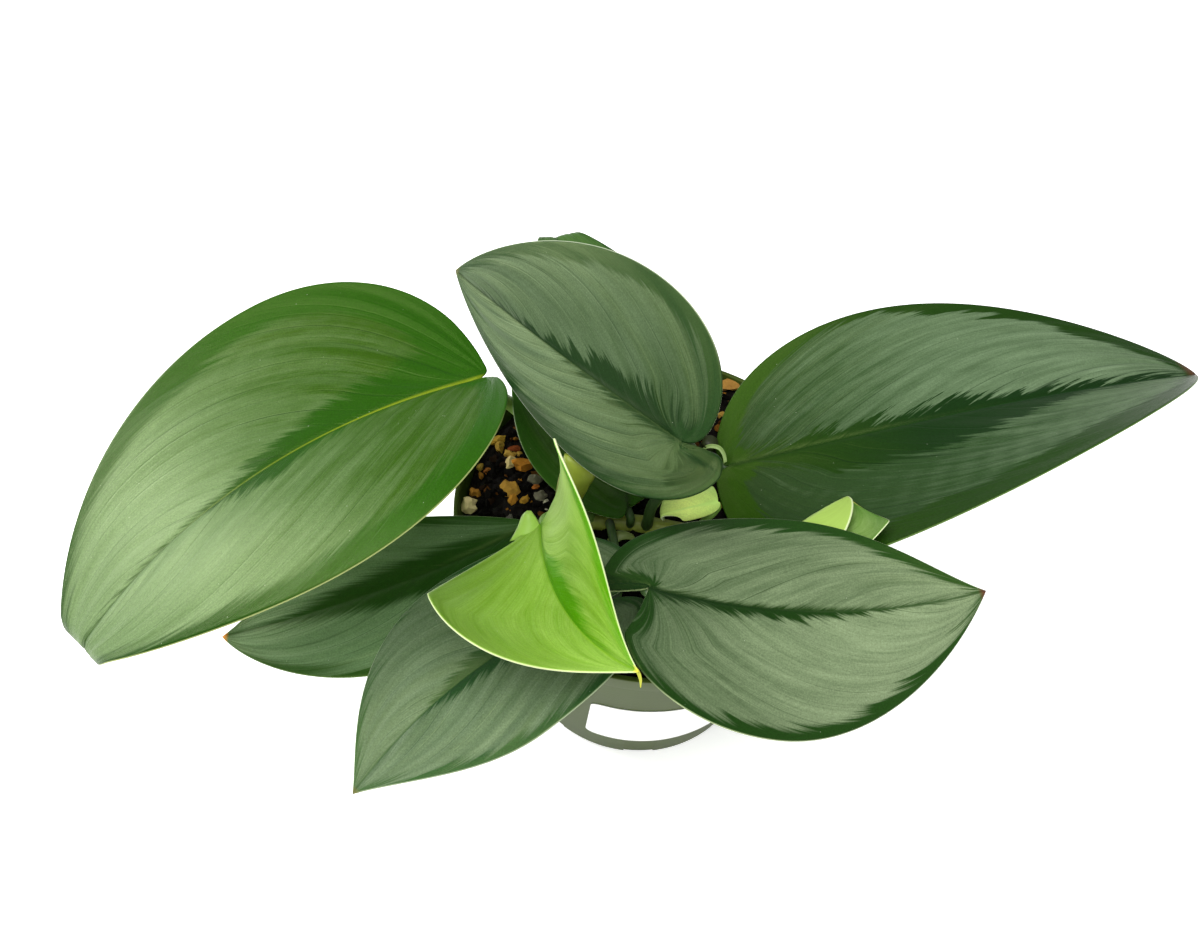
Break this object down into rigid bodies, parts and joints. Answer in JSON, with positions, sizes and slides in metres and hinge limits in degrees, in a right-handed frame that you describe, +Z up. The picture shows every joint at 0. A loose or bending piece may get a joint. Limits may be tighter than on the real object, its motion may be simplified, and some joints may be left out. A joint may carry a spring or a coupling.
{
  "type": "potted moonlight scindapsus",
  "caption": "Young moonlight scindapsus with broad silvery green leaves on a creeping stem, filled in with soil and bark in a round tapered nursery pot with a blank label.",
  "frame": {"origin": "centre of the flat underside of the pot", "axes": "+Z up along the pot's axis, -Y towards the label and the viewer, +X to the viewer's right"},
  "size_m": [0.2728, 0.1718, 0.1483],
  "materials": {
    "pot_plastic": "satin dark green moulded plastic",
    "label_paper": "smooth white sticker, blank",
    "potting_mix": "rough dark soil with tan bark and grit",
    "stem_green": "waxy olive green",
    "leaf_green": "soft waxy green with a silver sheen",
    "leaf_young": "satin yellow green"
  },
  "bodies": {
    "root": {"stem_creeping": "stem_green", "stem_upright": "stem_green", "pot": "pot_plastic", "pot_label": "label_paper", "soil": "potting_mix", "leaf_left": "leaf_green", "leaf_top": "leaf_green", "leaf_right": "leaf_green", "leaf_lower_right": "leaf_green", "leaf_lower_left": "leaf_green", "leaf_front": "leaf_green", "leaf_young_bright": "leaf_young", "leaf_young_rolled": "leaf_young", "leaf_young_folded": "leaf_young", "leaf_back": "leaf_green"}
  },
  "joints": []
}
